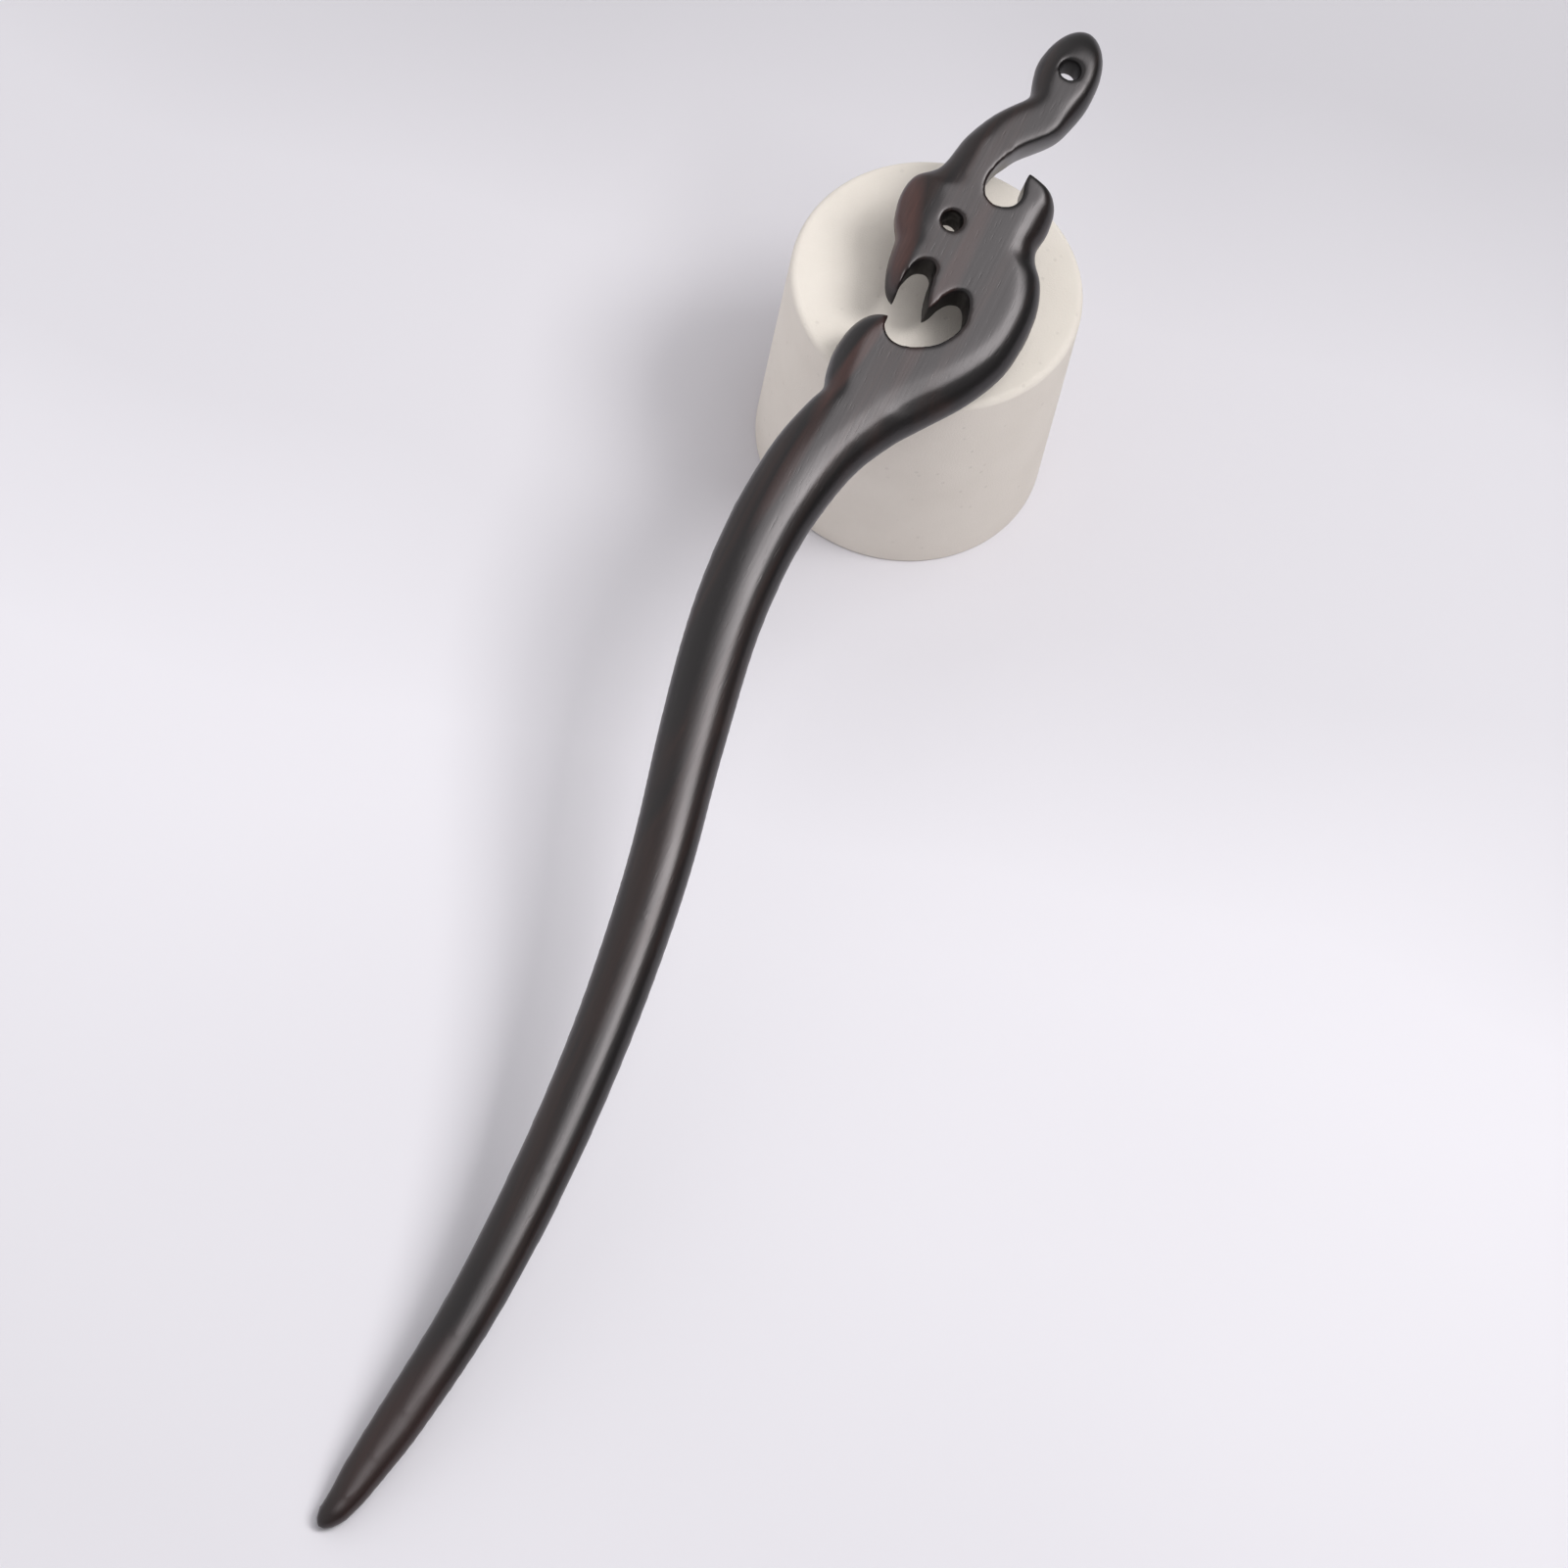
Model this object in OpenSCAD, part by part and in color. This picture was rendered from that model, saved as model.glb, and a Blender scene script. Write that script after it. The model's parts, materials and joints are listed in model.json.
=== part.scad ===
// Carved ebony hair stick, resting across a round display block.
// The stick is one piece of wood: a long swaying shaft, a flat pierced head and a short tail with
// a knob.
// It is drawn flat first, with its tip at the origin, its length along +Y and its faces square to Z,
// and is then tipped up so that it lies on the block's rim with its tip on the table.
// The origin of the whole part is the centre of the block's foot. All lengths are in millimetres.

/* [Shaft] */
// Length of the shaft, from the tip to the neck below the head
shaft_len = 130; // [100:1:150]
// Width of the shaft where it is stoutest, below the neck
shaft_w = 8.2; // [6:0.1:10]
// Sideways sway of the shaft between its two bends
shaft_sway = 10; // [4:0.5:14]
// Length of the rounded point at the tip
tip_len = 2.4; // [1.5:0.1:4]

/* [Head] */
// Thickness of the plank that the stick is sawn from
plank_t = 5.8; // [4.5:0.1:7]
// Length of the head, from the neck to the foot of the tail
head_len = 33; // [29:0.5:38]
// Width of the head, from the cheek to the belly
head_w = 18.9; // [16.5:0.1:21]
// Width of the rounding along the belly's edge, where the head is widest
edge_round = 3; // [2:0.1:3.4]

/* [Tail] */
// Length of the tail, from its foot to the end of the knob
tail_len = 17.1; // [14:0.1:20]
// Width of the tail across its knob
tail_w = 7; // [6:0.1:8]
// Thickness of the tail at its knob
tail_t = 5; // [4:0.1:5.5]
// Diameter of the hole through the knob for a tassel cord
tassel_d = 2.3; // [1.4:0.1:2.6]

/* [Pierced work] */
// Diameter of the round eye
eye_d = 2.3; // [1.5:0.1:3]
// Width of the notch between the tail and the horn
notch_w = 4.2; // [3.6:0.1:4.6]
// Width of the open mouth, across the head
mouth_w = 7.8; // [7:0.1:8.5]
// Height of the open mouth, along the head
mouth_h = 9.9; // [9:0.1:10.5]

/* [Display block] */
// Diameter of the block
block_d = 31.4; // [26:0.2:38]
// Height of the block
block_h = 31.3; // [24:0.2:36]
// Radius of the block's upper edge
block_round = 1.2; // [0.6:0.1:2]

/* [Rest] */
// Sideways place of the stick's tip, measured from the block's axis
tip_side = 2.7; // [0:0.1:4]
// Roll of the stick about its own length, in degrees
rest_roll = 7; // [0:0.1:9]
// Small gap left between the stick and what it rests on
rest_gap = 0.15; // [0.1:0.05:0.4]

/* [Hidden] */

// Stations along the stick where one form ends and the next begins
neck_y = shaft_len;
foot_y = neck_y + head_len;
end_y = foot_y + tail_len;

// Columns of the tables: share along the form, share across it, and 1 where the outline has a kink
ALONG = 0;
ACROSS = 1;
KINK = 2;
// Parts of the two tables of roundings
SHAFT = 0;
HEAD = 1;
TAIL = 2;

// Shaft: share of its length, and the sideways place of its middle as a share of the sway
shaft_middle = [
    [0.00, 0.01, 0], [0.03, 0.10, 0], [0.05, 0.13, 0], [0.10, 0.22, 0], [0.20, 0.35, 0],
    [0.30, 0.375, 0], [0.40, 0.325, 0], [0.50, 0.20, 0], [0.60, 0.00, 0], [0.70, -0.29, 0],
    [0.80, -0.535, 0], [0.88, -0.60, 0], [0.94, -0.53, 0], [0.97, -0.44, 0], [1.00, -0.285, 0]
];
// Shaft: share of its length, and its width as a share of the stoutest width
shaft_girth = [
    [0.00, 0.33, 0], [0.03, 0.44, 0], [0.05, 0.515, 0], [0.10, 0.62, 0], [0.25, 0.71, 0],
    [0.45, 0.77, 0], [0.65, 0.87, 0], [0.74, 0.925, 0], [0.80, 0.945, 0], [0.88, 0.995, 0],
    [0.94, 1.075, 0], [0.97, 1.14, 0], [1.00, 1.245, 0]
];
// Shaft: share of its length, and its thickness as a share of the plank
shaft_depth = [
    [0.00, 0.42, 0], [0.05, 0.55, 0], [0.15, 0.72, 0], [0.40, 0.86, 0], [0.70, 0.95, 0],
    [1.00, 1.00, 0]
];
// Head, left side: lip of the mouth, left horn and cheek, measured across from the neck
head_left = [
    [0.045, -0.236, 1], [0.09, -0.266, 0], [0.17, -0.284, 0], [0.25, -0.268, 0], [0.29, -0.243, 0],
    [0.31, -0.223, 0], [0.33, -0.192, 0], [0.343, -0.160, 0], [0.355, -0.103, 1], [0.375, -0.061, 0],
    [0.405, -0.129, 1], [0.413, -0.158, 0], [0.423, -0.176, 0], [0.44, -0.194, 0], [0.46, -0.209, 0],
    [0.50, -0.234, 0], [0.55, -0.251, 0], [0.60, -0.262, 1], [0.64, -0.311, 0], [0.68, -0.335, 0],
    [0.75, -0.356, 0], [0.82, -0.328, 0], [0.85, -0.270, 0], [0.872, -0.230, 1], [0.91, -0.208, 0],
    [1.00, -0.181, 0]
];
// Head, right side: belly, nick and right horn, measured across from the neck
head_right = [
    [0.095, 0.385, 0], [0.185, 0.491, 0], [0.28, 0.577, 0], [0.37, 0.630, 0], [0.49, 0.647, 0],
    [0.60, 0.629, 0], [0.69, 0.567, 0], [0.735, 0.497, 0], [0.775, 0.468, 1], [0.82, 0.482, 0],
    [0.88, 0.478, 0], [0.92, 0.461, 0], [0.943, 0.434, 0], [0.959, 0.404, 0], [0.970, 0.362, 0],
    [0.978, 0.308, 0], [0.983, 0.236, 1], [1.00, 0.162, 0]
];
// Tail, left and right side up to the middle of the knob, measured across from the tail's foot
tail_left = [
    [0.105, -0.264, 0], [0.22, -0.128, 0], [0.32, 0.036, 0], [0.41, 0.204, 0], [0.45, 0.257, 1],
    [0.54, 0.175, 0]
];
tail_right = [
    [0.00, 0.406, 0], [0.06, 0.476, 0], [0.115, 0.586, 0], [0.175, 0.724, 0], [0.23, 0.846, 0],
    [0.29, 0.950, 0], [0.35, 1.003, 0], [0.46, 1.074, 0], [0.55, 1.109, 0]
];
// Rounding of the left and of the right edge, each along the shaft, the head and the tail: on the
// shaft as a share of its width, on the head and the tail as a share of the belly's own rounding
round_left = [
    [
        [0.00, 0.49, 0], [0.80, 0.48, 0], [0.86, 0.42, 0], [0.94, 0.36, 0], [0.97, 0.34, 0],
        [1.00, 0.22, 0]
    ],
    [
        [0.00, 0.75, 0], [0.06, 0.72, 0], [0.15, 0.83, 0], [0.25, 0.67, 0], [0.44, 0.67, 0],
        [0.60, 0.83, 0], [0.69, 1.27, 0], [0.76, 1.47, 0], [0.82, 0.95, 0], [0.91, 0.78, 0],
        [1.00, 0.60, 0]
    ],
    [
        [0.00, 0.60, 0], [0.10, 0.56, 0], [0.29, 0.42, 0], [0.53, 0.56, 0], [0.66, 0.72, 0],
        [0.78, 0.98, 0], [1.00, 1.05, 0]
    ]
];
round_right = [
    [[0.00, 0.49, 0], [1.00, 0.49, 0]],
    [
        [0.00, 1.53, 0], [0.12, 1.60, 0], [0.21, 1.50, 0], [0.30, 1.38, 0], [0.37, 1.28, 0],
        [0.44, 1.12, 0], [0.52, 1.03, 0], [0.67, 0.96, 0], [0.74, 0.90, 0], [0.80, 0.98, 0],
        [0.86, 1.00, 0], [0.91, 0.62, 0], [0.96, 0.25, 0], [1.00, 0.17, 0]
    ],
    [
        [0.00, 0.03, 0], [0.12, 0.10, 0], [0.20, 0.15, 0], [0.28, 0.25, 0], [0.36, 0.45, 0],
        [0.48, 0.60, 0], [0.60, 0.47, 0], [0.72, 0.42, 0], [1.00, 0.48, 0]
    ]
];
// Most of the width that one rounded edge takes
most_round = 0.49;
// Taper of the knob's end, where a half would make it an ellipse
knob_taper = 0.53;
// Rounding of the knob's end as a share of the belly's own
knob_round_end = 1.1;

// Places of the pierced work: share along the head from the neck, and share across it
EYE = [0.714, -0.025];
NOTCH = [0.893, 0.15];
MOUTH = [0.4135, 0.093];
// Knob: share of the tail at its widest place, and share across the tail of its middle
KNOB = [0.65, 0.611];
// Tassel hole: share of the tail by which it lies beyond the knob's widest place
tassel_beyond = 0.03;
// Middle of the tail's foot: share of the head's width by which it lies left of the neck's middle
foot_aside = 0.048;
// Place along the head that lies above the block's axis
seat_along = 0.66;
// Share of the rest's gap that the tip keeps from the table
tip_gap = 0.3;
// Ends of the head's finely stepped stretches, by the lip and the cheek and by the right horn
LIP = 0.3;
CHEEK = 0.45;
HORN = 0.94;

// Mouth: share of its height and share of its width, from its middle, round from the tooth's point
mouth_outline = [
    [0.000, -0.045], [0.065, -0.080], [0.145, -0.122], [0.235, -0.147], [0.325, -0.170],
    [0.400, -0.172], [0.460, -0.205], [0.495, -0.282], [0.475, -0.378], [0.415, -0.455],
    [0.305, -0.500], [0.195, -0.520], [0.095, -0.515], [-0.005, -0.495], [-0.095, -0.463],
    [-0.185, -0.450], [-0.265, -0.465], [-0.330, -0.475], [-0.410, -0.430], [-0.475, -0.340],
    [-0.500, -0.218], [-0.480, -0.077], [-0.430, 0.064], [-0.360, 0.205], [-0.273, 0.320],
    [-0.167, 0.410], [-0.056, 0.468], [0.055, 0.485], [0.165, 0.462], [0.267, 0.417],
    [0.343, 0.333], [0.333, 0.218], [0.267, 0.128], [0.187, 0.070], [0.096, 0.038], [0.025, 0.000]
];
// Notch: share of its width along the head and across it, from its middle, round from the tail's side
notch_outline = [
    [0.965, -0.160], [0.810, -0.255], [0.640, -0.350], [0.450, -0.420], [0.240, -0.460],
    [0.025, -0.480], [-0.215, -0.440], [-0.405, -0.330], [-0.500, -0.140], [-0.500, 0.075],
    [-0.405, 0.290], [-0.240, 0.440], [-0.048, 0.497], [0.145, 0.466], [0.335, 0.402],
    [0.550, 0.383], [0.965, 0.383]
];

// Middle of the neck and of the tail's foot, from which the head and the tail are measured across
neck_x = shaft_sway * shaft_middle[len(shaft_middle) - 1][ACROSS];
foot_x = neck_x - foot_aside * head_w;
// Middle of the knob, along the stick and across it
knob_y = foot_y + KNOB[ALONG] * tail_len;
knob_x = foot_x + KNOB[ACROSS] * tail_w;

// Middles of the pierced work
function on_head(place) = [neck_x + place[ACROSS] * head_w, neck_y + place[ALONG] * head_len];
eye_at = on_head(EYE);
notch_at = on_head(NOTCH);
mouth_at = on_head(MOUTH);
tassel_at = [knob_x, knob_y + tassel_beyond * tail_len];

// Faces and steps of the carved solid
quarter_steps = 4;
shaft_step = 2;
head_step = 0.5;
fine_step = 0.22;
curl_steps = 3;
knob_steps = 9;
tip_turn = 18;
bore_facets = 48;
block_facets = 96;
through = 2 * plank_t;
settle_steps = 24;
steepest = 45;

// Row of a table below a station, and the smooth curve through the table's rows
function row_below(rows, s, i = 0) =
    i >= len(rows) - 2 || s <= rows[i + 1][ALONG] ? i : row_below(rows, s, i + 1);
function secant(rows, i, j) =
    (rows[j][ACROSS] - rows[i][ACROSS]) / (rows[j][ALONG] - rows[i][ALONG]);
function lean(rows, i, from, to) =
    i == 0 || i == len(rows) - 1 || rows[i][KINK] == 1 ?
        secant(rows, from, to) :
        secant(rows, i - 1, i + 1);
function curve(rows, s) =
    let (i = row_below(rows, s), gap = rows[i + 1][ALONG] - rows[i][ALONG])
    let (t = (s - rows[i][ALONG]) / gap)
    let (a = gap * lean(rows, i, i, i + 1), b = gap * lean(rows, i + 1, i, i + 1))
    (2 * t ^ 3 - 3 * t ^ 2 + 1) * rows[i][ACROSS] + (t ^ 3 - 2 * t ^ 2 + t) * a
    + (3 * t ^ 2 - 2 * t ^ 3) * rows[i + 1][ACROSS] + (t ^ 3 - t ^ 2) * b;

// Shaft: its middle and half its width at a station
function shaft_x(y) = shaft_sway * curve(shaft_middle, y / shaft_len);
function tip_dome(y) = y >= tip_len ? 1 : sqrt(1 - (1 - y / tip_len) ^ 2);
function shaft_half(y) = shaft_w / 2 * curve(shaft_girth, y / shaft_len) * tip_dome(y);
neck_half = shaft_w / 2 * shaft_girth[len(shaft_girth) - 1][ACROSS];

// Head and tail: a side's own table, begun where the form below it ends
function head_side(rows, sign) = concat([[0, sign * neck_half / head_w, 0]], rows);
function head_edge(rows, sign, y) =
    neck_x + head_w * curve(head_side(rows, sign), (y - neck_y) / head_len);
function tail_side(rows, sign) = concat(rows, [[KNOB[ALONG], KNOB[ACROSS] + sign / 2, 0]]);
function tail_edge(rows, sign, y) =
    foot_x + tail_w * curve(tail_side(rows, sign), (y - foot_y) / tail_len);
function knob_edge(sign, y) =
    knob_x + sign * tail_w / 2 * (1 - ((y - knob_y) / (end_y - knob_y)) ^ 2) ^ knob_taper;
function edge(head_rows, tail_rows, sign, y) =
    y < neck_y ? shaft_x(y) + sign * shaft_half(y) :
    y < foot_y ? head_edge(head_rows, sign, y) :
    y < knob_y ? tail_edge(tail_rows, sign, y) :
    knob_edge(sign, y);
foot_left = (neck_x + head_w * head_left[len(head_left) - 1][ACROSS] - foot_x) / tail_w;
function left(y) = edge(head_left, concat([[0, foot_left, 0]], tail_left), -1, y);
function right(y) = edge(head_right, tail_right, 1, y);

// Half the thickness at a station, thinner towards the tip and the knob and domed at both ends
function end_dome(y) =
    let (dome = knob_round_end * edge_round)
    end_y - y >= dome ? 1 : sqrt(1 - (1 - (end_y - y) / dome) ^ 2);
function tail_depth(y) = plank_t + (tail_t - plank_t) * (y - foot_y) / tail_len;
function half_t(y) =
    y < neck_y ? plank_t / 2 * curve(shaft_depth, y / shaft_len) * tip_dome(y) :
    y < foot_y ? plank_t / 2 :
    tail_depth(y) / 2 * end_dome(y);

// Width of the rounding at a station, measured square to the outline and never past the middle
function rounding(rows, y) =
    y < neck_y ? (right(y) - left(y)) * curve(rows[SHAFT], y / shaft_len) :
    y < foot_y ? edge_round * curve(rows[HEAD], (y - neck_y) / head_len) :
    edge_round * curve(rows[TAIL], (y - foot_y) / tail_len);
function across(rows, y, slant) =
    min(rounding(rows, y) * sqrt(1 + slant ^ 2), (right(y) - left(y)) * most_round);

// Cross-section at a station: a rounded left edge, the flat upper face, a rounded right edge, and
// the same back below
function inward(i) = 1 - cos(90 * i / quarter_steps);
function upward(i) = sin(90 * i / quarter_steps);
function section(y) =
    let (h = half_t(y), l = left(y), r = right(y))
    let (a = max(y - head_step / 2, 0), b = min(y + head_step / 2, end_y))
    let (wl = across(round_left, y, (left(b) - left(a)) / (b - a)))
    let (wr = across(round_right, y, (right(b) - right(a)) / (b - a)))
    concat(
        [for (i = [0 : quarter_steps]) [l + wl * inward(i), y, h * upward(i)]],
        [for (i = [quarter_steps : -1 : 0]) [r - wr * inward(i), y, h * upward(i)]],
        [for (i = [1 : quarter_steps]) [r - wr * inward(i), y, -h * upward(i)]],
        [for (i = [quarter_steps : -1 : 1]) [l + wl * inward(i), y, -h * upward(i)]]
    );

// Stations of the sections: close together at the tip, by the lip, by the two horns and at the
// knob's end
function steps(from, to, size) =
    let (n = ceil((to - from) / size))
    [for (i = [1 : n]) from + (to - from) * i / n];
lip_y = neck_y + LIP * head_len;
cheek_y = neck_y + CHEEK * head_len;
horn_y = neck_y + HORN * head_len;
stations = concat(
    [for (a = [tip_turn / 2 : tip_turn : 90]) tip_len * (1 - cos(a))],
    steps(tip_len, neck_y, shaft_step),
    steps(neck_y, lip_y, head_step),
    steps(lip_y, cheek_y, fine_step),
    steps(cheek_y, horn_y, head_step),
    steps(horn_y, foot_y, fine_step),
    steps(foot_y, knob_y, head_step),
    [for (i = [1 : knob_steps - 1]) knob_y + (end_y - knob_y) * sin(90 * i / knob_steps)]
);

// One closed skin over all sections
module blank() {
    rings = [for (y = stations) section(y)];
    n = len(rings[0]);
    last = (len(rings) - 1) * n;
    sides = [
        for (k = [0 : len(rings) - 2], i = [0 : n - 1])
            [k * n + i, (k + 1) * n + i, (k + 1) * n + (i + 1) % n, k * n + (i + 1) % n]
    ];
    tip_cap = [for (i = [0 : n - 1]) i];
    knob_cap = [for (i = [n - 1 : -1 : 0]) last + i];
    polyhedron([for (ring = rings) each ring], concat(sides, [tip_cap, knob_cap]));
}

// Hole straight through the plank
module drill(at, d) {
    translate([at.x, at.y, -through / 2]) cylinder(d = d, h = through, $fn = bore_facets);
}

// Sawn opening straight through the plank, with an outline of straight lines
module saw(outline) {
    translate([0, 0, -through / 2]) linear_extrude(through) polygon(outline);
}

// Smooth line through the points of a table, from the first to the last
function curl(a, b, c, d, t) =
    b + (c - a) * t / 2 + (a - 2.5 * b + 2 * c - d / 2) * t ^ 2
    + (1.5 * (b - c) + (d - a) / 2) * t ^ 3;
function curled(rows) = let (last = len(rows) - 1) [
    for (i = [0 : last - 1], k = [0 : curl_steps - 1])
        curl(rows[max(i - 1, 0)], rows[i], rows[i + 1], rows[min(i + 2, last)], k / curl_steps),
    rows[last]
];

// Open mouth with its two lobes and the pointed tooth left standing between them
module mouth() {
    saw([for (p = curled(mouth_outline)) mouth_at + [p[ACROSS] * mouth_w, p[ALONG] * mouth_h]]);
}

// Round-bottomed notch between the tail and the right horn, open towards the tail's end
module notch() {
    saw([for (p = curled(notch_outline)) notch_at + notch_w * [p[ACROSS], p[ALONG]]]);
}

// The carved stick, lying flat
module carved_stick() {
    difference() {
        blank();
        mouth();
        notch();
        drill(eye_at, eye_d);
        drill(tassel_at, tassel_d);
    }
}

// Rest: the tip's underside just clears the table, and the head's clears the rounded rim of the block.
// The pitch is found by halving, between a stick that cuts into the rim and one that stands high
// above it.
seat_s = neck_y + seat_along * head_len;
rim_r = block_d / 2 - block_round;
rim_z = block_h - block_round;
rim_off = plank_t / 2 + rest_gap + block_round;
function half_drop(y) = norm([half_t(y) * cos(rest_roll), shaft_half(y) * sin(rest_roll)]);
function tip_lift(pitch) =
    tip_gap * rest_gap + max([
        for (i = [0 : settle_steps])
            let (y = tip_len * i / settle_steps)
            (half_drop(y) + shaft_x(y) * sin(rest_roll)) * cos(pitch) - y * sin(pitch)
    ]);
function above_rim(pitch) =
    let (face = [sin(rest_roll), -cos(rest_roll) * sin(pitch), cos(rest_roll) * cos(pitch)])
    face * [tip_side, -seat_s * cos(pitch), tip_lift(pitch) - rim_z]
    - rim_r * norm([face.x, face.y]) - rim_off;
function settle(low, high, n) =
    let (pitch = (low + high) / 2)
    n == 0 ? pitch :
    above_rim(pitch) > 0 ? settle(low, pitch, n - 1) :
    settle(pitch, high, n - 1);
rest_pitch = settle(0, steepest, settle_steps);

module hair_stick() {
    color([0.13, 0.1, 0.1])
        translate([tip_side, -seat_s * cos(rest_pitch), tip_lift(rest_pitch)])
            rotate([rest_pitch, 0, 0]) rotate([0, rest_roll, 0])
                carved_stick();
}

module display_block() {
    color([0.87, 0.84, 0.79]) {
        cylinder(d = block_d, h = rim_z, $fn = block_facets);
        cylinder(r = rim_r, h = block_h, $fn = block_facets);
        translate([0, 0, rim_z])
            rotate_extrude($fn = block_facets)
                translate([rim_r, 0]) circle(r = block_round, $fn = bore_facets);
    }
}

hair_stick();
display_block();
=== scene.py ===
# %% [markdown]
# # A carved ebony hair stick on a round plaster block
# The real thing is two pieces. The stick is sawn and carved from one plank of dark ebony: a
# long swaying shaft, a flat pierced head and a short tail with a knob. The block is a plain
# cylinder of cast plaster with a softened rim, and the stick's head lies across it.
# The CAD model already holds every size. This lesson gives both pieces their finish: smooth
# polished wood with its grain, dry plaster with its pits, a pale cloth below and soft light.

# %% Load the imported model
import json
import math

import bmesh
import bpy
from mathutils import Matrix, Vector


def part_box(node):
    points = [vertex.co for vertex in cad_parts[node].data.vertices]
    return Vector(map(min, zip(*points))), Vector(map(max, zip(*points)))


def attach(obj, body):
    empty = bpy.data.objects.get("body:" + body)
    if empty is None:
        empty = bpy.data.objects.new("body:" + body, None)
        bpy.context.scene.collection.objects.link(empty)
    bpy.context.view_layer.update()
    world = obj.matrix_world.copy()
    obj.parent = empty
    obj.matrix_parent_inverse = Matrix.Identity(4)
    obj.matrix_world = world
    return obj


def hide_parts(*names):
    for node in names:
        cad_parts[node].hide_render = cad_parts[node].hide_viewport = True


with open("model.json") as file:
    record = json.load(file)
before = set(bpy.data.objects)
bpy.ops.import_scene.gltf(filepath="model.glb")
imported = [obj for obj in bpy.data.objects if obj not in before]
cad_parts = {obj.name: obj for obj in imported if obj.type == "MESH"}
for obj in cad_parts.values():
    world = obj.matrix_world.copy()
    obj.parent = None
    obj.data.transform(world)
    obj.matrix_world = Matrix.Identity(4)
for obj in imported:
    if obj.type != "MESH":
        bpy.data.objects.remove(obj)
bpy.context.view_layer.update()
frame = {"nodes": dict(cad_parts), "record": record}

# %% [markdown]
# ## The plank's own directions
# The stick lies tipped up on the block, but its grain and its flat faces follow the plank that
# it was sawn from. The angles could be copied from the CAD model as numbers, but they would be
# wrong as soon as a size changed. Two mounts in the record give them instead: the tassel hole
# is drilled square to the faces, and the shaft is pushed into the hair along the length. A
# matrix made of the two, with the direction across as the third, turns the plank's axes into
# the model's.

# %% Plank axes from the record
mount = {m["name"]: m for m in frame["record"]["mounts"]}
along = Vector(mount["hair_shaft"]["axis"]).normalized()
face = Vector(mount["tassel_hole"]["axis"]).normalized()
across = along.cross(face).normalized()
plank_turn = Matrix((across, along, face)).transposed()
plank_home = Vector(mount["hair_shaft"]["pos_m"])
print("plank leans", round(math.degrees(math.asin(along.z)), 2), "degrees")

# %% [markdown]
# ## One object for each piece
# A finished piece is a mesh whose object stays at the origin, so that its place is in the
# mesh, as it is with the CAD pieces. The helper links the object, shades it smooth, hangs it
# under the root and hides the CAD piece that it stands for.

# %% Helper: a finished piece
def finished(name, mesh, stands_for):
    """Link a mesh as an object that replaces one CAD piece."""
    piece = bpy.data.objects.new(name, mesh)
    bpy.context.scene.collection.objects.link(piece)
    mesh.shade_smooth()
    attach(piece, "root")
    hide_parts(stands_for)
    mesh.calc_loop_triangles()
    print(name, "has", len(mesh.loop_triangles), "triangles")
    return piece


# %% [markdown]
# ## The carved stick
# The CAD solid has the right outline but crisp corners and small facets. Real ebony is sanded
# and polished by hand, which leaves every arris a little round. One way is to bevel each edge,
# but the pierced mouth has hundreds of short ones. A voxel remesh is simpler: it lays a fine
# even grid of faces over the whole solid, and smoothing then rounds the corners as sandpaper
# does. The copy is turned square to the grid first, so that the flat faces stay truly flat.

# %% Copy the CAD stick and join its loose triangles
MEND = 1e-6  # corners closer than this are one corner, metres
to_model = Matrix.Translation(plank_home) @ plank_turn.to_4x4()


def plank_copy(node):
    """A closed copy of a CAD piece's mesh, lying square in the plank's own axes."""
    mesh = node.data.copy()
    mesh.materials.clear()
    solid = bmesh.new()
    solid.from_mesh(mesh)
    bmesh.ops.remove_doubles(solid, verts=solid.verts, dist=MEND)
    bmesh.ops.transform(solid, matrix=to_model.inverted(), verts=solid.verts)
    solid.to_mesh(mesh)
    open_edges = sum(1 for edge in solid.edges if not edge.is_manifold)
    solid.free()
    print("open edges after joining:", open_edges)
    return mesh


# %% Remesh it with small even faces
VOXEL = 0.00024  # size of the remeshed faces, metres


def remeshed(mesh):
    """The mesh laid over with even faces by a voxel Remesh modifier."""
    rough = bpy.data.objects.new("rough_stick", mesh)
    bpy.context.scene.collection.objects.link(rough)
    grid = rough.modifiers.new("grid", "REMESH")
    grid.mode = "VOXEL"
    grid.voxel_size = VOXEL
    seen = rough.evaluated_get(bpy.context.evaluated_depsgraph_get())
    even = bpy.data.meshes.new_from_object(seen)
    bpy.data.objects.remove(rough)
    print("remeshed faces:", len(even.polygons))
    return even


# %% [markdown]
# ## Sanding it twice
# A carver sands twice. A long sanding fairs the rounded outer edges and leaves the sharp
# arrises of the pierced work alone, and a short one takes the bite off those too. The mesh is
# treated the same way: at first only the points with no sharp edge beside them move, and at
# the end all of them do.

# %% Sand it and lay it back in its place
ARRIS = math.radians(28)  # edges that turn more than this are spared by the long sanding
LONG_SANDING = 10  # passes of smoothing
SHORT_SANDING = 5
SANDING_STRENGTH = 0.5


def is_smooth(point):
    """Whether none of the edges that meet at a point is an arris."""
    return all(edge.calc_face_angle(0) < ARRIS for edge in point.link_edges)


def sanded(mesh):
    """Fair the rounded edges, ease the arrises and put the mesh back in the model's axes."""
    wood = bmesh.new()
    wood.from_mesh(mesh)
    broad = [point for point in wood.verts if is_smooth(point)]
    print("points away from an arris:", len(broad), "of", len(wood.verts))
    for points, passes in ((broad, LONG_SANDING), (wood.verts[:], SHORT_SANDING)):
        for _ in range(passes):
            bmesh.ops.smooth_vert(
                wood, verts=points, factor=SANDING_STRENGTH,
                use_axis_x=True, use_axis_y=True, use_axis_z=True,
            )
    bmesh.ops.transform(wood, matrix=to_model, verts=wood.verts)
    wood.to_mesh(mesh)
    wood.free()
    return mesh


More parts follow.
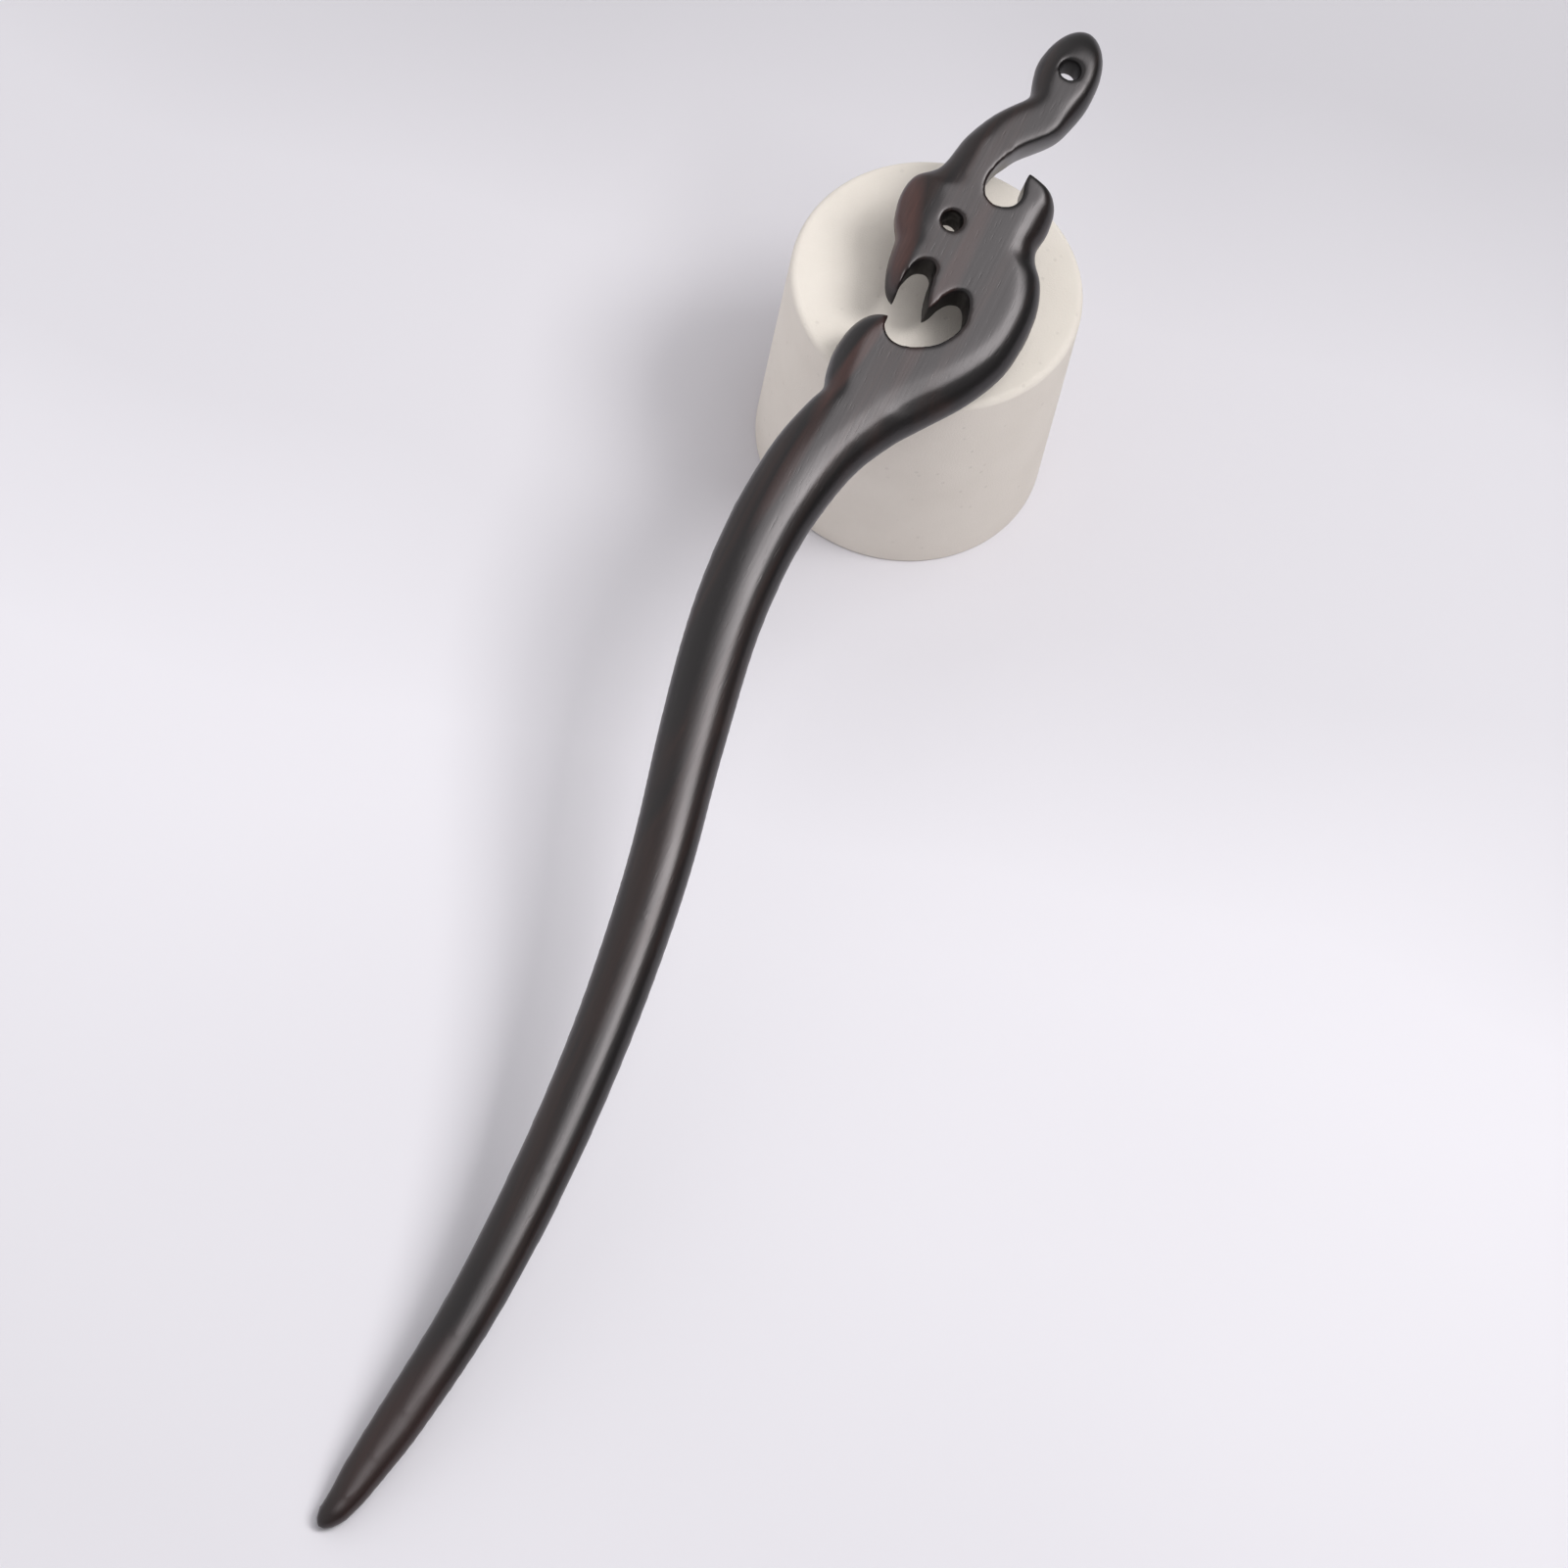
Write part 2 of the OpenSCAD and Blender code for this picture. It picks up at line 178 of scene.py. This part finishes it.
stick_mesh = sanded(remeshed(plank_copy(frame["nodes"]["hair_stick"])))
stick = finished("hair_stick_carved", stick_mesh, "hair_stick")

# %% [markdown]
# ## The plaster block
# A block like this is cast in a tube mould, and its upper rim is rubbed round. A ready-made
# cylinder would do, but a spun section can become any other turned shape as well. This one has
# only three lines, so it is drawn as four points and spun round the upright axis. The two
# circles are then bevelled: the rim with the round that the photograph shows, the foot with a
# hair's breadth.

# %% Spin the section and round the rim
SPIN_STEPS = 192
RIM_ROUND = 0.0009  # width of the round, metres
FOOT_ROUND = 0.0003
RIM_SEGMENTS = 8
block_low, block_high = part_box("display_block")
block_radius = (block_high.x - block_low.x) / 2
block_top = block_high.z


def circle_edges(body, height):
    """Edges that lie flat at a height, on the outer wall."""
    def on_circle(corner):
        return abs(corner.co.z - height) < MEND and corner.co.xy.length > block_radius / 2

    return [edge for edge in body.edges if all(on_circle(v) for v in edge.verts)]


def cast_block():
    """A cylinder with a rounded rim, as one closed mesh."""
    body = bmesh.new()
    corners = ((0, 0), (block_radius, 0), (block_radius, block_top), (0, block_top))
    section = [body.verts.new((out, 0, up)) for out, up in corners]
    lines = [body.edges.new(pair) for pair in zip(section, section[1:])]
    bmesh.ops.spin(
        body, geom=section + lines, cent=(0, 0, 0), axis=(0, 0, 1),
        angle=math.tau, steps=SPIN_STEPS, use_merge=True,
    )
    bmesh.ops.remove_doubles(body, verts=body.verts, dist=MEND)
    for height, width in ((block_top, RIM_ROUND), (0.0, FOOT_ROUND)):
        bmesh.ops.bevel(
            body, geom=circle_edges(body, height), offset=width, segments=RIM_SEGMENTS,
            profile=0.5, affect="EDGES", material=-1,
        )
    bmesh.ops.recalc_face_normals(body, faces=body.faces)
    mesh = bpy.data.meshes.new("plaster_block")
    body.to_mesh(mesh)
    body.free()
    return mesh


block = finished("plaster_block", cast_block(), "display_block")

# %% [markdown]
# ## Making materials from nodes
# Each finish is a chain of procedural nodes. The first helper makes one node, sets its values
# and joins its inputs in one call, so that a finish reads as a short list of steps. The others
# are the few kinds of step that every finish here is made of.

# %% Helper: one node
def add(tree, kind, inputs=None, **settings):
    """One node. Inputs are numbers, colours or another node's output."""
    made = tree.nodes.new(kind)
    for name, value in settings.items():
        setattr(made, name, value)
    for name, value in (inputs or {}).items():
        if isinstance(value, bpy.types.NodeSocket):
            tree.links.new(value, made.inputs[name])
        else:
            made.inputs[name].default_value = value
    return made


# %% Helpers: steps with values
def calc(tree, operation, *values):
    """One step of arithmetic."""
    made = add(tree, "ShaderNodeMath", dict(enumerate(values)), operation=operation)
    return made.outputs["Value"]


def towards(tree, vector, axis):
    """How far a vector reaches along an axis."""
    made = add(tree, "ShaderNodeVectorMath", {0: vector, 1: axis}, operation="DOT_PRODUCT")
    return made.outputs["Value"]


def span(tree, value, low, high, to_low, to_high):
    """Carry a value from one range into another."""
    made = add(
        tree, "ShaderNodeMapRange",
        {"Value": value, "From Min": low, "From Max": high,
         "To Min": to_low, "To Max": to_high},
    )
    return made.outputs["Result"]


# %% Helpers: steps with colour and relief
def ramp(tree, value, stops):
    """A colour ramp from (place, colour) stops."""
    made = add(tree, "ShaderNodeValToRGB", {"Fac": value})
    band = made.color_ramp
    while len(band.elements) < len(stops):
        band.elements.new(0.5)
    for element, (place, colour) in zip(band.elements, stops):
        element.position = place
        element.color = (*colour, 1)
    return made.outputs["Color"]


def mixed(tree, amount, under, over):
    """One colour laid over another."""
    made = add(
        tree, "ShaderNodeMix", {"Factor": amount, "A": under, "B": over}, data_type="RGBA",
    )
    return [s for s in made.outputs if s.type == "RGBA"][0]


def relief(tree, height, strength, depth):
    """Small bumps, where a height of 1 stands for the depth, in metres."""
    made = add(
        tree, "ShaderNodeBump", {"Height": height, "Strength": strength, "Distance": depth},
    )
    return made.outputs["Normal"]


# %% Helpers: a material and its shader
def new_material(name):
    """An empty node material, with its surface shader and the shader's tree."""
    material = bpy.data.materials.new(name)
    material.use_nodes = True
    tree = material.node_tree
    tree.nodes.clear()
    shader = add(tree, "ShaderNodeBsdfPrincipled")
    add(tree, "ShaderNodeOutputMaterial", {"Surface": shader.outputs["BSDF"]})
    return material, tree, shader


def feed(tree, shader, **sockets):
    """Join node outputs to the shader's inputs."""
    for name, output in sockets.items():
        tree.links.new(output, shader.inputs[name.replace("_", " ")])


# %% [markdown]
# ## Noise that fills the plank
# Growth layers, fibres, pores and blotches are all uneven patterns that never repeat. A
# picture of wood could be wrapped round the stick, but it would smear on the rounded edges.
# Noise is solid: it fills the space, and the piece is cut out of it, as the real one is cut
# out of a plank. It is squeezed across the plank and stretched along it, as wood is.

# %% Helpers: noise
PER_MM = 1000  # mm in a metre
USUAL_LOW, USUAL_HIGH = 0.3, 0.7  # nearly all values of a noise lie between these


def grain_noise(tree, place, pattern, detail, distortion=0.0):
    """Noise with its own number of patterns per mm in each of three directions."""
    stretched = add(
        tree, "ShaderNodeMapping",
        {"Vector": place, "Scale": [PER_MM * part for part in pattern]},
    )
    made = add(
        tree, "ShaderNodeTexNoise",
        {"Vector": stretched.outputs["Vector"], "Scale": 1.0, "Detail": detail,
         "Distortion": distortion},
    )
    return made.outputs["Fac"]


def swing(tree, noise, to_low, to_high):
    """Carry a noise's usual range into another."""
    return span(tree, noise, USUAL_LOW, USUAL_HIGH, to_low, to_high)


# %% [markdown]
# ## Brown sapwood
# In a few places a little of the brown sapwood shows, most of all along the cheek. Each is a
# long soft patch in the plank's axes, frayed by the growth layers. The patches could be
# painted on the mesh's points, but as ellipses in the plank they also go through the wood.

# %% A soft patch in the plank
SAPWOOD = (0.085, 0.034, 0.027, 1)
SOFT_RIM = (0.6, 1.15)  # where a patch begins to fade and where it ends, in its own reach
FRAY = 0.25  # how much the growth layers move that rim
DEEPER = 3  # a patch goes this many times its length through the plank
# Middle and reach in the plank, across it and along from the tip, in mm, then the lean in
# degrees and the strength
BROWN_PATCHES = [
    ((-7.8, 151.5), (1.6, 7.8), 12, 0.8),
    ((-5.8, 135), (0.8, 7), -10, 0.5),
    ((-6.7, 122), (0.8, 8), -4, 0.3),
    ((-0.7, 147), (1.1, 15), 0, 0.3),
    ((2.6, 11), (3.0, 12), -5, 0.22),
]


def patch(tree, plank, fray, middle, reach, lean=0, strength=1.0, rim=SOFT_RIM):
    """A soft ellipse in the plank, as strong as its strength inside and 0 outside."""
    here = add(
        tree, "ShaderNodeMapping",
        {"Vector": plank,
         "Location": [part / PER_MM for part in (*middle, 0)],
         "Rotation": (0, 0, math.radians(lean)),
         "Scale": [part / PER_MM for part in (*reach, DEEPER * reach[1])]},
        vector_type="TEXTURE",
    )
    distance = add(
        tree, "ShaderNodeVectorMath", {0: here.outputs["Vector"]}, operation="LENGTH",
    ).outputs["Value"]
    frayed = calc(tree, "ADD", distance, swing(tree, fray, -FRAY, FRAY))
    return span(tree, frayed, *rim, strength, 0.0)


print("brown patches:", len(BROWN_PATCHES))

# %% [markdown]
# ## Walls that were never polished, with painted shade
# No polishing cloth reaches the walls of the closed openings. They are the surfaces that stand
# square to the plank's faces inside the mouth and the two holes, and they stay rough. Their
# colour is also painted darker, as painted shade inside the openings.
# They could be given a material of their own, but after the remesh no clean line divides them
# from the faces, so the wood's own material finds them by their place and their slope.

# %% Find the walls of the openings
# Middle and reach of the mouth with the eye, and of the tassel hole, in mm
PIERCED = [((-1.2, 146.5), (5.0, 9.2)), ((0.6, 174.6), (1.5, 1.5))]
WALL_RIM = (1.0, 1.25)
# How far a surface faces the way of the plank's flat faces: up to the first it is all wall,
# and from the second on it is no wall
SQUARE, SLOPING = 0.2, 0.6


def pierced_walls(tree, plank, fray):
    """1 on the walls of the mouth and the holes, and 0 elsewhere."""
    outward = add(tree, "ShaderNodeTexCoord").outputs["Normal"]
    facing = calc(tree, "ABSOLUTE", towards(tree, outward, face))
    inside = 0.0
    for middle, reach in PIERCED:
        near = patch(tree, plank, fray, middle, reach, rim=WALL_RIM)
        inside = calc(tree, "MAXIMUM", inside, near)
    return calc(tree, "MULTIPLY", inside, span(tree, facing, SQUARE, SLOPING, 1.0, 0.0))


print("groups of closed openings:", len(PIERCED))

# %% [markdown]
# ## Polished ebony
# Ebony is almost black, but not flat black. Its growth layers run along the plank as faint
# streaks, its fibres leave very fine lines, and its pores are short dark dashes. The pattern
# reads the object's coordinates, turned into the plank's axes, so that it runs through the
# wood as real grain does and doesn't bend with the carving.
# Most of what the eye sees on such dark wood is the light on its polish. The polish is satin,
# a little better in some places than in others, and very slightly warm.

# %% Ebony's patterns, in the plank's axes
FIGURE = (0.30, 0.016, 0.30)  # growth layers: patterns per mm across, along and through
FIBRE = (3.2, 0.09, 3.2)
PORE = (4.5, 0.55, 4.5)
CLOUD = (0.16, 0.07, 0.16)
SHAFT_MARK = 0.040  # from the stick's tip to the record's mark on the shaft, metres


def in_plank(tree):
    """A place on the piece in the plank's axes, measured from the stick's tip."""
    place = add(tree, "ShaderNodeTexCoord").outputs["Object"]
    return add(
        tree, "ShaderNodeMapping",
        {"Vector": place, "Location": plank_home - SHAFT_MARK * along,
         "Rotation": plank_turn.to_euler()},
        vector_type="TEXTURE",
    ).outputs["Vector"]


# %% Ebony's colour
GROWTH_TONES = [
    (0.30, (0.006, 0.006, 0.006)),
    (0.48, (0.008, 0.007, 0.007)),
    (0.58, (0.014, 0.009, 0.008)),
    (0.63, (0.020, 0.011, 0.009)),
    (0.70, (0.009, 0.007, 0.007)),
]
FIBRE_TONE = (0.006, 0.005, 0.005, 1)
FIBRE_SHARE = 0.3
# painted shade: the walls of the openings are painted darker than the wood
WALL_SHADE_TONE = (0.004, 0.003, 0.003, 1)


def ebony_colour(tree, plank, figure, fibre, wall):
    """Growth layers with brown patches, fine fibres and painted shade on the pierced walls."""
    shade = ramp(tree, figure, GROWTH_TONES)
    for middle, reach, lean, strength in BROWN_PATCHES:
        brown = patch(tree, plank, figure, middle, reach, lean, strength)
        shade = mixed(tree, brown, shade, SAPWOOD)
    shade = mixed(tree, swing(tree, fibre, 0.0, FIBRE_SHARE), shade, FIBRE_TONE)
    # painted shade on the walls of the mouth and the holes
    return mixed(tree, wall, shade, WALL_SHADE_TONE)


# %% Ebony's polish
SATIN = (0.28, 0.35)  # roughness, where the polish is best and where it is least
WALL_ROUGHER = 0.3
FIBRE_RISE = 0.4
PORE_SINK = -0.5
PORE_EDGE, PORE_HEART = 0.64, 0.74  # pore noise where a pore begins and where it is deepest
GRAIN_STRENGTH = 0.4
GRAIN_DEPTH = 0.00002
POLISH_IOR = 1.54
POLISH_TINT = (1.0, 0.94, 0.95, 1)


def ebony():
    """Near-black wood with fine fibres, pores, a little brown sapwood and a satin polish."""
    material, tree, shader = new_material("ebony")
    plank = in_plank(tree)
    figure = grain_noise(tree, plank, FIGURE, detail=4, distortion=0.8)
    fibre = grain_noise(tree, plank, FIBRE, detail=3)
    pore = grain_noise(tree, plank, PORE, detail=1)
    cloud = grain_noise(tree, plank, CLOUD, detail=2)
    wall = pierced_walls(tree, plank, figure)
    shade = ebony_colour(tree, plank, figure, fibre, wall)
    rough = calc(tree, "MULTIPLY_ADD", wall, WALL_ROUGHER, swing(tree, cloud, *SATIN))
    height = calc(
        tree, "ADD", swing(tree, fibre, 0.0, FIBRE_RISE),
        span(tree, pore, PORE_EDGE, PORE_HEART, 0.0, PORE_SINK),
    )
    grain = relief(tree, height, GRAIN_STRENGTH, GRAIN_DEPTH)
    feed(tree, shader, Base_Color=shade, Roughness=rough, Normal=grain)
    shader.inputs["IOR"].default_value = POLISH_IOR
    shader.inputs["Specular Tint"].default_value = POLISH_TINT
    print("ebony has", len(tree.nodes), "nodes")
    return material


stick.data.materials.append(ebony())

# %% [markdown]
# ## Cast plaster
# Dry plaster is matt and slightly warm. Its skin has a fine tooth from the mould, small pits
# where air bubbles burst and faint blotches where it dried unevenly. The pits could be cut
# into the mesh, but they are far smaller than its faces, so they are part of the relief, with
# painted shade that darkens them a little.

# %% Plaster
BLOTCH = (0.12, 0.12, 0.12)
TOOTH = (6, 6, 6)
TOOTH_RISE = 0.4
BUBBLES_PER_MM = 0.45
PIT_HEART, PIT_EDGE = 0.05, 0.13  # distance from a bubble's middle, in spaces between bubbles
SKIN_TONES = [(0.3, (0.78, 0.72, 0.648)), (0.7, (0.82, 0.76, 0.688))]
# painted shade in the pits: its tone, and how much of it is laid over the skin
PIT_SHADE_TONE = (0.50, 0.46, 0.42, 1)
PIT_SHADE_SHARE = 0.2
SKIN_STRENGTH = 0.4
SKIN_DEPTH = 0.0001
PLASTER_ROUGHNESS = 0.85


def plaster():
    """Matt warm white with blotches, a fine tooth and small pits with painted shade in them.
    """
    material, tree, shader = new_material("plaster")
    place = add(tree, "ShaderNodeTexCoord").outputs["Object"]
    blotch = grain_noise(tree, place, BLOTCH, detail=3)
    tooth = grain_noise(tree, place, TOOTH, detail=2)
    bubble = add(
        tree, "ShaderNodeTexVoronoi",
        {"Vector": place, "Scale": BUBBLES_PER_MM * PER_MM, "Randomness": 1.0},
    ).outputs["Distance"]
    pit = span(tree, bubble, PIT_HEART, PIT_EDGE, 1.0, 0.0)
    # painted shade in the pits
    pit_shade = span(tree, pit, 0.0, 1.0, 0.0, PIT_SHADE_SHARE)
    shade = mixed(tree, pit_shade, ramp(tree, blotch, SKIN_TONES), PIT_SHADE_TONE)
    height = calc(tree, "SUBTRACT", swing(tree, tooth, 0.0, TOOTH_RISE), pit)
    skin = relief(tree, height, SKIN_STRENGTH, SKIN_DEPTH)
    feed(tree, shader, Base_Color=shade, Normal=skin)
    shader.inputs["Roughness"].default_value = PLASTER_ROUGHNESS
    print("plaster has", len(tree.nodes), "nodes")
    return material


block.data.materials.append(plaster())

# %% [markdown]
# ## The table
# Below lies a pale cloth, a little cool in tone. Folds could be modelled or simulated, but it
# only has to be plain and soft, so it is one wide sheet with painted shade that changes
# slowly:
# it is painted a little darker near the tip's side, lightest across the middle and darker
# behind the shaft, where the cloth sinks away from the light. A slow noise keeps the change
# from running in a straight line.

# %% The cloth's painted shade
FAR = Vector((-0.24, 0.97, 0.0))  # across the cloth, away from the stick's tip
NEAR_END, FAR_END = -0.15, 0.06  # where the slow change begins and ends, metres along FAR
SLOW = (0.014, 0.014, 0.014)
WAVER = 0.01  # how far the noise moves the change either way, metres
PALE = (0.830, 0.807, 0.850)
# painted shade: how much of the pale white is kept at each place along the slow change
CLOTH_SHADE_TONES = [(0.0, 0.88), (0.42, 0.98), (0.49, 0.98), (0.63, 0.87), (0.80, 0.85), (1.0, 0.71)]
CLOTH_ROUGHNESS = 0.9


def cloth_material():
    """A soft white with painted shade that darkens it slowly towards the far side."""
    material, tree, shader = new_material("cloth")
    place = add(tree, "ShaderNodeTexCoord").outputs["Object"]
    slow = grain_noise(tree, place, SLOW, detail=1)
    far = calc(tree, "ADD", towards(tree, place, FAR), swing(tree, slow, -WAVER, WAVER))
    step = span(tree, far, NEAR_END, FAR_END, 0.0, 1.0)
    stops = [(at, [tone * part for part in PALE]) for at, tone in CLOTH_SHADE_TONES]
    feed(tree, shader, Base_Color=ramp(tree, step, stops))
    shader.inputs["Roughness"].default_value = CLOTH_ROUGHNESS
    return material


# %% Pale cloth
CLOTH_HALF = 1.2  # half the sheet's width, metres
CLOTH_CELLS = 8


def pale_cloth():
    """A wide flat sheet with a soft white finish, which isn't part of the object."""
    sheet = bmesh.new()
    bmesh.ops.create_grid(
        sheet, x_segments=CLOTH_CELLS, y_segments=CLOTH_CELLS, size=CLOTH_HALF,
    )
    mesh = bpy.data.meshes.new("pale_cloth")
    sheet.to_mesh(mesh)
    sheet.free()
    cloth = bpy.data.objects.new("pale_cloth", mesh)
    bpy.context.scene.collection.objects.link(cloth)
    mesh.materials.append(cloth_material())
    print("cloth is", 2 * CLOTH_HALF, "metres wide")


pale_cloth()

# %% [markdown]
# ## The sky
# The light is soft studio light. Many small lamps could give it, but a sky is smoother and
# quicker. A wide glow overhead gives the flat faces of the wood their grey sheen. The rest of
# the sky is dim: brighter to the left and in front, as beside a pale wall, and nearly dark to
# the right, which leaves dark bands along the right edges.

# %% Sky
WALL = Vector((-0.97, -0.24, 0.0))  # towards the bright side of the sky
WALL_SPREAD = 0.9  # where along that direction the sky is brightest, and opposite darkest
WALL_BRIGHT = 0.82
WALL_DARK = 0.10
GLOW = Vector((0.25, 0.06, 0.966))  # towards the middle of the overhead glow
GLOW_CORE = math.radians(12)
GLOW_RIM = math.radians(22)
GLOW_BRIGHT = 3.0
SKY_TONE = (0.985, 0.985, 1.0, 1)


def soft_sky():
    """A dim sky that is brighter on one side, with a wide glow overhead."""
    world = bpy.data.worlds.new("soft_sky")
    world.use_nodes = True
    tree = world.node_tree
    tree.nodes.clear()
    direction = add(tree, "ShaderNodeTexCoord").outputs["Generated"]
    side = towards(tree, direction, WALL)
    wall = span(tree, side, -WALL_SPREAD, WALL_SPREAD, WALL_DARK, WALL_BRIGHT)
    glow = span(
        tree, towards(tree, direction, GLOW),
        math.cos(GLOW_RIM), math.cos(GLOW_CORE), 0.0, GLOW_BRIGHT,
    )
    sky = add(
        tree, "ShaderNodeBackground",
        {"Color": SKY_TONE, "Strength": calc(tree, "ADD", wall, glow)},
    )
    add(tree, "ShaderNodeOutputWorld", {"Surface": sky.outputs["Background"]})
    bpy.context.scene.world = world
    print("sky has", len(tree.nodes), "nodes")


soft_sky()

# %% [markdown]
# ## The softbox
# One square softbox to the upper right gives the highlight along the rounded edges and the
# faint shadow to the left. It is placed by the direction that it shines from, because that is
# what a highlight shows, and not by three coordinates.

# %% Softbox
SOFTBOX_WAY = Vector((0.485, 0.115, 0.867))  # towards the lamp from where it is aimed
SOFTBOX_AIM = Vector((0, -0.05, 0.01))
SOFTBOX_DISTANCE = 1.1  # metres
SOFTBOX_SIDE = 0.41
SOFTBOX_WATTS = 5.5


def softbox():
    """A square lamp that faces the middle of the stick."""
    light = bpy.data.lights.new("softbox", "AREA")
    light.shape = "SQUARE"
    light.size = SOFTBOX_SIDE
    light.energy = SOFTBOX_WATTS
    holder = bpy.data.objects.new("softbox", light)
    bpy.context.scene.collection.objects.link(holder)
    away = SOFTBOX_WAY.normalized()
    holder.location = SOFTBOX_AIM + SOFTBOX_DISTANCE * away
    holder.rotation_euler = away.to_track_quat("Z", "Y").to_euler()
    print("softbox stands at", [round(part, 3) for part in holder.location])


softbox()
bpy.context.scene.view_settings.view_transform = "Standard"

# %% [markdown]
# ## Camera
# The photograph was taken from high above with a long lens, and the camera was tilted
# sideways. A camera can be made to follow a target, but then its tilt is hard to set. Here it
# is turned in three steps: lean it down from upright, swing it round the object, then roll it
# about its own line of sight.

# %% Camera at the photograph's angle
CAMERA_HEIGHT_ANGLE = 59.381  # degrees above the table
CAMERA_SWING = 13.035  # degrees round the object
CAMERA_ROLL = 13.849  # degrees about the line of sight
CAMERA_DISTANCE = 0.92618  # metres
CAMERA_AIM = Vector((0.00738, -0.045445, 0.0))
LENS_MM = 200
SENSOR_MM = 36

lens = bpy.data.cameras.new("camera")
lens.lens = LENS_MM
lens.sensor_width = SENSOR_MM
camera = bpy.data.objects.new("camera", lens)
bpy.context.scene.collection.objects.link(camera)
turn = (
    Matrix.Rotation(math.radians(CAMERA_SWING), 4, "Z")
    @ Matrix.Rotation(math.radians(90 - CAMERA_HEIGHT_ANGLE), 4, "X")
    @ Matrix.Rotation(math.radians(CAMERA_ROLL), 4, "Z")
)
camera_place = CAMERA_AIM + CAMERA_DISTANCE * turn.col[2].xyz
camera.matrix_world = Matrix.Translation(camera_place) @ turn
bpy.context.scene.camera = camera
print("camera stands at", [round(part, 3) for part in camera_place])
